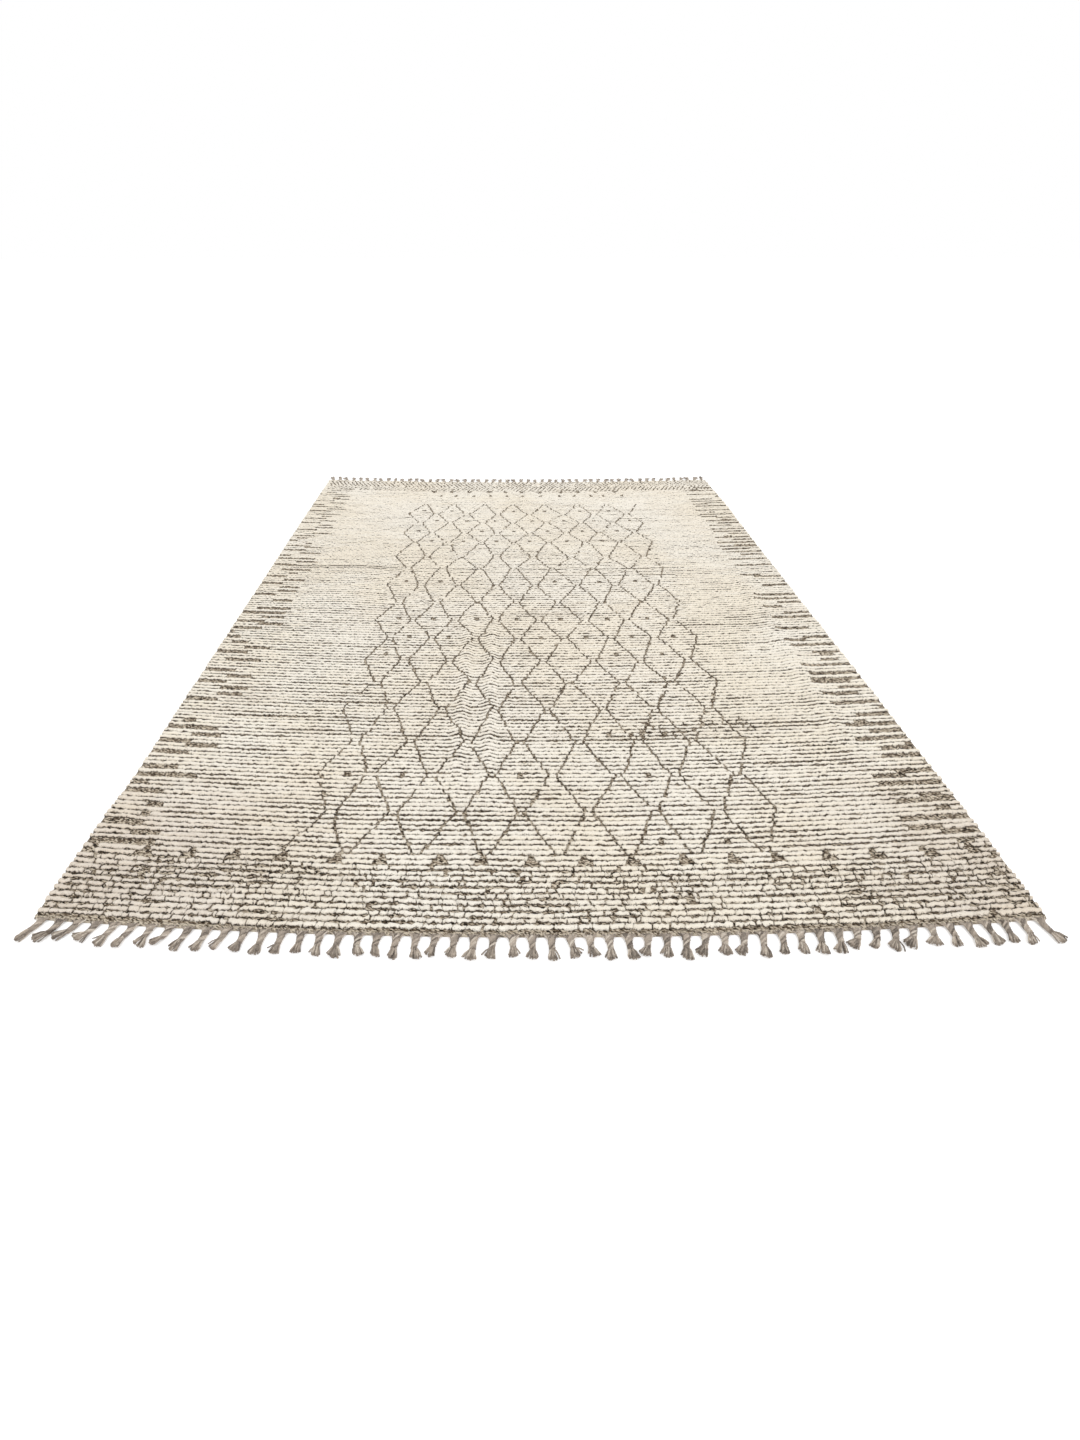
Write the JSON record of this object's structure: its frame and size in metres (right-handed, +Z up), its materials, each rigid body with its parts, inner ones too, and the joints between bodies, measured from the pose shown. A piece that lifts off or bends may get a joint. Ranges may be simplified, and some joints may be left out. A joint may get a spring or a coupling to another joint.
{
  "type": "afghan rug",
  "caption": "Rectangular hand-knotted wool rug with raised cream pile rows over a dark woven ground, a diamond lattice, and a tasselled fringe at both ends, lying flat.",
  "frame": {"origin": "middle of the rug's underside, fringes counted, on the floor", "axes": "+X across the rug to the right as seen from the near end, +Y along the rug towards its far end, +Z up out of the pile"},
  "size_m": [2.0342, 3.1524, 0.0213],
  "materials": {
    "wool_pile": "matt cream wool pile in raised rows over a melange charcoal, brown and taupe flat weave",
    "fringe_yarn": "matt taupe wool yarn, twisted stalks with cut brush ends"
  },
  "bodies": {
    "root": {"rug_field": "wool_pile", "fringe_near": "fringe_yarn", "fringe_far": "fringe_yarn"}
  },
  "joints": []
}
